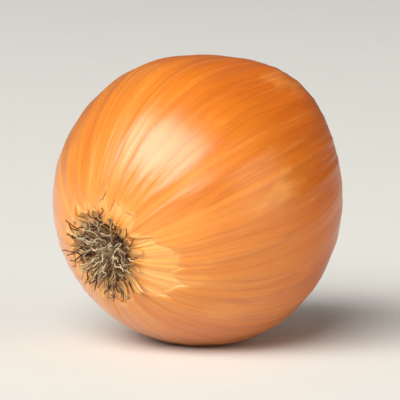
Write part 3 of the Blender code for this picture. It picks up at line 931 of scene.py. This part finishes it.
points, faces = closed_mesh(plate_rings())
shares = np.hypot(points[:, 0], points[:, 1]) / SEAT_RADIUS
plate_share = {"plate_share": np.stack([shares, shares, shares], axis=-1)}
root_plate = new_piece("root_plate", points, faces, plate_share, plate_material)
lay_down(root_plate)
print("root_plate has", len(faces), "faces")

# %% [markdown]
# ## Where the roots start
#
# Roots leave the plate all over its face. Points in a sunflower spiral spread them evenly: each turns by
# the golden angle from the last, and its distance from the middle grows with the square root of its number.
# Geometry Nodes suit this, because the count and the plate's radius stay plain numbers to try out.

# %% Points on the plate
GOLDEN_ANGLE = math.pi * (3.0 - math.sqrt(5.0))


def spiral_points(tree, given):
    """Points in a sunflower spiral on the plate, with their numbers, radius shares and outward ways."""
    number = add_node(tree, "GeometryNodeInputIndex", "Index", {})
    share = add_node(tree, "ShaderNodeMath", "Value", {0: number, 1: 0.5}, operation="ADD")
    share = add_node(tree, "ShaderNodeMath", "Value", {0: share, 1: given["Count"]}, operation="DIVIDE")
    share = add_node(tree, "ShaderNodeMath", "Value", {0: share}, operation="SQRT")
    angle = add_node(tree, "ShaderNodeMath", "Value", {0: number, 1: GOLDEN_ANGLE}, operation="MULTIPLY")
    cosine = add_node(tree, "ShaderNodeMath", "Value", {0: angle}, operation="COSINE")
    sine = add_node(tree, "ShaderNodeMath", "Value", {0: angle}, operation="SINE")
    outward = add_node(tree, "ShaderNodeCombineXYZ", "Vector", {"X": cosine, "Y": sine})
    radius = add_node(tree, "ShaderNodeMath", "Value", {0: share, 1: given["Plate Radius"]},
                      operation="MULTIPLY")
    start = add_node(tree, "ShaderNodeVectorMath", "Vector", {0: outward, "Scale": radius}, operation="SCALE")
    depth = add_node(tree, "ShaderNodeCombineXYZ", "Vector", {"Z": given["Plate Height"]})
    start = add_node(tree, "ShaderNodeVectorMath", "Vector", {0: start, 1: depth}, operation="ADD")
    spots = add_node(tree, "GeometryNodePoints", 0, {"Count": given["Count"], "Position": start})
    return spots, number, share, outward


print("roots turn by", round(math.degrees(GOLDEN_ANGLE), 1), "degrees from one to the next")

# %% [markdown]
# ## Which way the roots grow
#
# On each point stands a straight curve, one unit long, which leans outwards by more towards the edge and is
# scaled to a drawn length. Each root also keeps its own tone, which its colour reads: the ones in the
# middle are paler. A curve needs enough points to bend at, but each of them costs five faces later.

# %% Straight roots on the plate
ROOT_SWAY = 0.55
ROOT_LENGTH_SHARES = (0.45, 1.0)
ROOT_TONES = (-0.16, 0.70)
MIDDLE_PALER = 0.66
TONE_SEED = 7
ROOT_POINTS = 12


def root_directions(tree, given, share, outward):
    """Which way each root grows: away from the bulb, outwards by its radius share, and a little astray."""
    lean = add_node(tree, "ShaderNodeMath", "Value", {0: share, 1: given["Splay"]}, operation="MULTIPLY")
    way = add_node(tree, "ShaderNodeVectorMath", "Vector", {0: outward, "Scale": lean}, operation="SCALE")
    wide = {"Min": (-ROOT_SWAY,) * 3, "Max": (ROOT_SWAY,) * 3, "Seed": given["Seed"]}
    sway = add_node(tree, "FunctionNodeRandomValue", "Value", wide, data_type="FLOAT_VECTOR")
    way = add_node(tree, "ShaderNodeVectorMath", "Vector", {0: way, 1: sway}, operation="ADD")
    way = add_node(tree, "ShaderNodeVectorMath", "Vector", {0: way, 1: (0.0, 0.0, -1.0)}, operation="ADD")
    return add_node(tree, "FunctionNodeAlignRotationToVector", "Rotation", {"Vector": way}, axis="Z")


def straight_roots(tree, given):
    """A straight curve on each point of the plate, with its own direction, length and tone."""
    spots, number, share, outward = spiral_points(tree, given)
    lengths = {2: ROOT_LENGTH_SHARES[0], 3: ROOT_LENGTH_SHARES[1], "Seed": given["Seed"]}
    length = add_node(tree, "FunctionNodeRandomValue", 1, lengths, data_type="FLOAT")
    length = add_node(tree, "ShaderNodeMath", "Value", {0: length, 1: given["Length"]}, operation="MULTIPLY")
    line = add_node(tree, "GeometryNodeCurvePrimitiveLine", "Curve", {"End": (0.0, 0.0, 1.0)})
    line = add_node(tree, "GeometryNodeResampleCurve", 0, {"Curve": line, "Count": ROOT_POINTS})
    turn = root_directions(tree, given, share, outward)
    placed = {"Points": spots, "Instance": line, "Rotation": turn, "Scale": length}
    roots = add_node(tree, "GeometryNodeInstanceOnPoints", 0, placed)
    tones = {2: ROOT_TONES[0], 3: ROOT_TONES[1], "Seed": TONE_SEED}
    tone = add_node(tree, "FunctionNodeRandomValue", 1, tones, data_type="FLOAT")
    paler = {"Value": number, "From Min": 0.0, "From Max": given["Count"],
             "To Min": MIDDLE_PALER, "To Max": 0.0}
    paler = add_node(tree, "ShaderNodeMapRange", "Result", paler)
    tone = add_node(tree, "ShaderNodeMath", "Value", {0: tone, 1: paler}, operation="ADD")
    kept = {"Geometry": roots, "Name": "root_tone", "Value": tone}
    roots = add_node(tree, "GeometryNodeStoreNamedAttribute", 0, kept, data_type="FLOAT", domain="INSTANCE")
    return add_node(tree, "GeometryNodeRealizeInstances", "Geometry", {"Geometry": roots})


print("each root is a curve through", ROOT_POINTS, "points")

# %% [markdown]
# ## How the roots bend
#
# A dried root curls without a rule, and more towards its tip, because the plate holds its base. A noise
# moves each point of the curve, by more the further along it lies. Its place in the noise also depends on
# the root's tone, so that neighbours bend differently. Where that would drive a root into the bulb, it is
# kept just clear of the skin, whose height here is close to a parabola round the axis.

# %% Bent roots
BEND_SIZE = 3.3
TONE_APART = 61.0
SKIN_CLEAR = 0.35
HELD_SHARE = 0.5
BASE_SLACK = 6.0


def bent_roots(tree, given, roots):
    """Moves the points of the roots by a noise, by more towards the tips, and differently for each root."""
    tone = add_node(tree, "GeometryNodeInputNamedAttribute", 0, {"Name": "root_tone"}, data_type="FLOAT")
    along = add_node(tree, "GeometryNodeSplineParameter", "Factor", {})
    place = add_node(tree, "GeometryNodeInputPosition", "Position", {})
    where = add_node(tree, "ShaderNodeVectorMath", "Vector", {0: place, "Scale": 1.0 / BEND_SIZE},
                     operation="SCALE")
    apart = add_node(tree, "ShaderNodeMath", "Value", {0: tone, 1: TONE_APART}, operation="MULTIPLY")
    where = add_node(tree, "ShaderNodeVectorMath", "Vector", {0: where, 1: apart}, operation="ADD")
    wander = add_node(tree, "ShaderNodeTexNoise", "Color", {"Vector": where, "Scale": 1.0, "Detail": 1.0})
    wander = add_node(tree, "ShaderNodeVectorMath", "Vector", {0: wander, 1: (0.5, 0.5, 0.5)},
                      operation="SUBTRACT")
    bend = add_node(tree, "ShaderNodeMath", "Value", {0: along, 1: given["Curl"]}, operation="MULTIPLY")
    wander = add_node(tree, "ShaderNodeVectorMath", "Vector", {0: wander, "Scale": bend}, operation="SCALE")
    return add_node(tree, "GeometryNodeSetPosition", 0, {"Geometry": roots, "Offset": wander})


def clear_of_skin(tree, roots):
    """Keeps the outer half of each root just clear of the skin round the plate."""
    place = add_node(tree, "GeometryNodeInputPosition", "Position", {})
    height = add_node(tree, "ShaderNodeSeparateXYZ", "Z", {"Vector": place})
    x, y = height.node.outputs["X"], height.node.outputs["Y"]
    level = add_node(tree, "ShaderNodeCombineXYZ", "Vector", {"X": x, "Y": y})
    squared = add_node(tree, "ShaderNodeVectorMath", "Value", {0: level, 1: level}, operation="DOT_PRODUCT")
    parabola = {0: squared, 1: 0.5 * ROOT_DEPTH / BELLY_RADIUS**2, 2: -ROOT_DEPTH - SKIN_CLEAR}
    highest = add_node(tree, "ShaderNodeMath", "Value", parabola, operation="MULTIPLY_ADD")
    along = add_node(tree, "GeometryNodeSplineParameter", "Factor", {})
    held = {"Value": along, "From Min": 0.0, "From Max": HELD_SHARE, "To Min": BASE_SLACK, "To Max": 0.0}
    slack = add_node(tree, "ShaderNodeMapRange", "Result", held)
    highest = add_node(tree, "ShaderNodeMath", "Value", {0: highest, 1: slack}, operation="ADD")
    lowered = add_node(tree, "ShaderNodeMath", "Value", {0: height, 1: highest}, operation="MINIMUM")
    clear = add_node(tree, "ShaderNodeCombineXYZ", "Vector", {"X": x, "Y": y, "Z": lowered})
    return add_node(tree, "GeometryNodeSetPosition", 0, {"Geometry": roots, "Position": clear})


print("the outer half of each root stays", SKIN_CLEAR, "mm clear of the skin")

# %% [markdown]
# ## How thick the roots are
#
# Last, a ring with five sides is swept along each curve and narrows to its tip. Curve to Mesh takes that
# thickness from its Scale input. The group then runs the steps one after the other: straight, bent, kept
# clear, and swept. Its named inputs are the numbers that someone would want to try.

# %% Tapered roots, and the whole group
TIP_SHARE = 0.45
ROOT_SIDES = 5


def thick_roots(tree, given, roots):
    """Sweeps a small ring along each root, which narrows towards the tip, and caps its ends."""
    along = add_node(tree, "GeometryNodeSplineParameter", "Factor", {})
    taper = {"Value": along, "From Min": 0.0, "From Max": 1.0, "To Min": 1.0, "To Max": TIP_SHARE}
    taper = add_node(tree, "ShaderNodeMapRange", "Result", taper)
    thick = add_node(tree, "ShaderNodeMath", "Value", {0: taper, 1: given["Thickness"]}, operation="MULTIPLY")
    ring = {"Resolution": ROOT_SIDES, "Radius": 0.5}
    ring = add_node(tree, "GeometryNodeCurvePrimitiveCircle", "Curve", ring)
    swept = {"Curve": roots, "Profile Curve": ring, "Scale": thick, "Fill Caps": True}
    return add_node(tree, "GeometryNodeCurveToMesh", "Mesh", swept)


def root_tuft_group():
    """Grows thin curly roots from a plate, each with its own length, bend and tone."""
    sizes = {"Count": "NodeSocketInt", "Plate Radius": "NodeSocketFloat", "Plate Height": "NodeSocketFloat",
             "Length": "NodeSocketFloat", "Thickness": "NodeSocketFloat", "Curl": "NodeSocketFloat",
             "Splay": "NodeSocketFloat", "Seed": "NodeSocketInt", "Material": "NodeSocketMaterial"}
    tree, given, result = new_group("root_tuft", sizes)
    roots = bent_roots(tree, given, straight_roots(tree, given))
    threads = thick_roots(tree, given, clear_of_skin(tree, roots))
    return finish_group(tree, given, result, threads)


root_tuft = root_tuft_group()
print(root_tuft.name, "has", len(root_tuft.nodes), "nodes")

# %% [markdown]
# ## The dried roots
#
# With the group made, the tuft is one call. Its numbers, in millimetres, are listed here: enough threads to
# hide most of the plate, short enough to stay a tuft, and with so much splay that the outer ones lie on the
# skin and can be told apart. The threads stand for the CAD tuft from here on.

# %% The dried roots
root_threads = new_piece("root_threads", [(0.0, 0.0, 0.0)], [], {}, root_material)
tuft_sizes = {"Count": 165, "Plate Radius": 5.9, "Plate Height": PLATE_EDGE + 0.2, "Length": 7.1,
              "Thickness": 0.50, "Curl": 8.0, "Splay": 2.5, "Seed": 3}
run_group(root_threads, root_tuft, {**tuft_sizes, "Material": root_material})
lay_down(root_threads)
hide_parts("roots")
print("root_threads has", len(root_threads.data.polygons), "faces")

# %% [markdown]
# ## The material of loose dry skin
#
# Skin that has come loose is the same paper without its wax, so it is matt: straw-coloured at the neck,
# where it has dried the longest, and golden at the roots. Pale and dark fibres run along it. They are finer
# than the picture can show, so they are drawn 0.9 mm wide. One function makes both materials from their
# three colours.

# %% Loose dry skin
PAPER_ROUGHNESS = 0.55


def loose_paper_material(name, ground, pale, dark):
    """Loose dry skin: thin matt paper with pale and dark streaks along it, and browner blotches."""
    material, tree, surface = new_material(name)
    place = add_node(tree, "ShaderNodeAttribute", "Vector", {}, attribute_name="skin_place")
    found = skin_patterns(tree, place, {
        "fine": {"width": 0.9, "stretch": 14.0, "shift": 2.2, "detail": 4.0},
        "blotch": {"width": 5.0, "stretch": 2.0, "shift": 6.1, "detail": 3.0},
    })
    colour = tinted(tree, srgb(ground), [
        (found["fine"], 0.48, 0.70, 0.75, pale),
        (found["fine"], 0.48, 0.30, 0.70, dark),
        (found["blotch"], 0.52, 0.70, 0.45, "b3763a"),
    ])
    tree.links.new(colour, surface.inputs["Base Color"])
    creases = {"Height": found["fine"], "Strength": 0.4, "Distance": 0.2 * MM}
    tree.links.new(add_node(tree, "ShaderNodeBump", "Normal", creases), surface.inputs["Normal"])
    surface.inputs["Roughness"].default_value = PAPER_ROUGHNESS
    return material


neck_paper_material = loose_paper_material("neck_paper_straw", "d0a268", "efd9b2", "96683a")
root_paper_material = loose_paper_material("root_paper_gold", "d99c56", "f0cd97", "a0632c")
print("made", neck_paper_material.name, "and", root_paper_material.name)

# %% [markdown]
# ## Loose strips and scraps of dry skin
#
# Dry skin never ends neatly. At the neck each leaf base withers to a pointed papery strip, and round the
# roots short scraps stay fixed to the plate and flare away from the bulb. Each is a small grid that follows
# the bulb: its columns run round the axis and its rows along the outline, so the same function that shapes
# the skin carries it. Its sides waver, its end is torn, and it lifts towards that end. Solidify gives it
# the thickness of paper. Each one is different, so a seeded draw gives every strip its own sizes.

# %% Papery scraps
SCRAP_COLUMNS = 9
SCRAP_ROWS = 13
PAPER_THICKNESS = 0.14
SCRAP_TEAR_WAVES = (2, 5, 9)
SCRAP_TEARS = (0.03, 0.09)
SCRAP_WAVER = 0.5
SCRAP_NARROWING = 1.4
SCRAP_LEVEL = 0.25
SCRAP_SINK = 0.5
SCRAP_SUNK_UP_TO = 0.2
SCRAP_LIFTS_FROM = 0.25


def scrap(middle, start, finish, half_width, depth, lift, cup, taper, draw):
    """Points and places of one scrap, in mm, from its fixed start to its torn finish along the outline.

    It starts at a depth below the skin's surface, and lifts, cups and narrows towards its finish.
    """
    across, along = np.meshgrid(np.linspace(-1.0, 1.0, SCRAP_COLUMNS), np.linspace(0.0, 1.0, SCRAP_ROWS))
    tear = 1.0
    for count in SCRAP_TEAR_WAVES:
        tear = tear + draw.uniform(*SCRAP_TEARS) * np.cos(count * across + draw.uniform(0.0, 6.0))
    at = start + (finish - start) * along * tear
    waver = draw.uniform(-SCRAP_WAVER, SCRAP_WAVER) * np.sin(3.0 * along + draw.uniform(0.0, 6.0))
    narrow = 1.0 - taper * along**SCRAP_NARROWING
    radius = np.interp(at, OUT_LENGTH, OUT_RADIUS)
    angle = middle + half_width * (across * narrow + waver * along) / (radius - depth)
    level = SCRAP_LEVEL - depth - SCRAP_SINK * ease(along, SCRAP_SUNK_UP_TO, 0.0)
    level = level + lift * ease(along, SCRAP_LIFTS_FROM, 1.0) + cup * across**2 * along
    points = skin_points(angle, at, level)
    points[..., 2] += np.maximum(0.0, -at)
    height = np.interp(at, OUT_LENGTH, OUT_HEIGHT)
    place = np.stack([np.cos(angle), np.sin(angle), height / BELLY_RADIUS], axis=-1)
    return points.reshape(-1, 3), place.reshape(-1, 3)


def scraps_piece(name, scraps, material):
    """One piece from many scraps, given the thickness of paper and laid down with the bulb."""
    points, places, faces = [], [], []
    for n, (found, place) in enumerate(scraps):
        points.append(found)
        places.append(place)
        first = n * SCRAP_COLUMNS * SCRAP_ROWS
        for i in range(SCRAP_ROWS - 1):
            for j in range(SCRAP_COLUMNS - 1):
                k = first + i * SCRAP_COLUMNS + j
                faces.append((k, k + 1, k + SCRAP_COLUMNS + 1, k + SCRAP_COLUMNS))
    piece = new_piece(name, np.concatenate(points), faces, {"skin_place": np.concatenate(places)}, material)
    thicken = piece.modifiers.new("paper", "SOLIDIFY")
    thicken.thickness = PAPER_THICKNESS
    thicken.offset = 0.0
    keep_result(piece)
    lay_down(piece)
    print(name, "has", len(scraps), "scraps and", len(piece.data.polygons), "faces")


print("a scrap is a grid of", SCRAP_COLUMNS, "by", SCRAP_ROWS, "points")

# %% [markdown]
# ## The strips of the neck and the scraps of the root end
#
# Two rings of strips fill the neck: outer ones that begin on its sides, and inner ones that stand in its
# mouth. The scraps of the root end are shorter, wider and less pointed, and they curl away from the skin.
# One rule makes all three, from ranges of millimetres, and the draw is seeded, so every run gives the same
# onion.

# %% Strips of the neck and scraps of the root end
OUTER_STRIPS = {"count": 11, "start": (4.5, 8.0), "finish": (-4.4, -0.6), "half": (1.0, 1.9),
                "depth": (0.0, 0.1), "lift": (-1.5, 0.5), "cup": (-0.3, 0.2), "taper": (0.75, 0.95)}
INNER_STRIPS = {"count": 9, "start": (1.5, 3.0), "finish": (-4.6, -1.4), "half": (0.8, 1.5),
                "depth": (1.3, 3.2), "lift": (-0.8, 0.9), "cup": (-0.4, 0.3), "taper": (0.70, 0.95)}
ROOT_SCRAPS = {"count": 16, "start": (-0.8, 0.0), "finish": (-5.2, -1.8), "half": (0.6, 1.9),
               "depth": (0.0, 0.1), "lift": (0.3, 1.5), "cup": (-0.2, 0.5), "taper": (0.25, 0.80)}
SCRAP_TURN = 0.35
SCRAP_SEED = 21


def many_scraps(rule, origin, draw):
    """Scraps at even turns round the axis, each drawn from the rule's ranges; places count from origin."""
    found = []
    for n in range(rule["count"]):
        middle = math.tau * (n + draw.uniform(-SCRAP_TURN, SCRAP_TURN)) / rule["count"]
        start, finish = origin + draw.uniform(*rule["start"]), origin + draw.uniform(*rule["finish"])
        shape = [draw.uniform(*rule[part]) for part in ("half", "depth", "lift", "cup", "taper")]
        found.append(scrap(middle, start, finish, *shape, draw))
    return found


draw = random.Random(SCRAP_SEED)
strips = many_scraps(OUTER_STRIPS, 0.0, draw) + many_scraps(INNER_STRIPS, 0.0, draw)
scraps_piece("neck_paper", strips, neck_paper_material)
scraps_piece("root_paper", many_scraps(ROOT_SCRAPS, SEAT_RIM_AT, draw), root_paper_material)
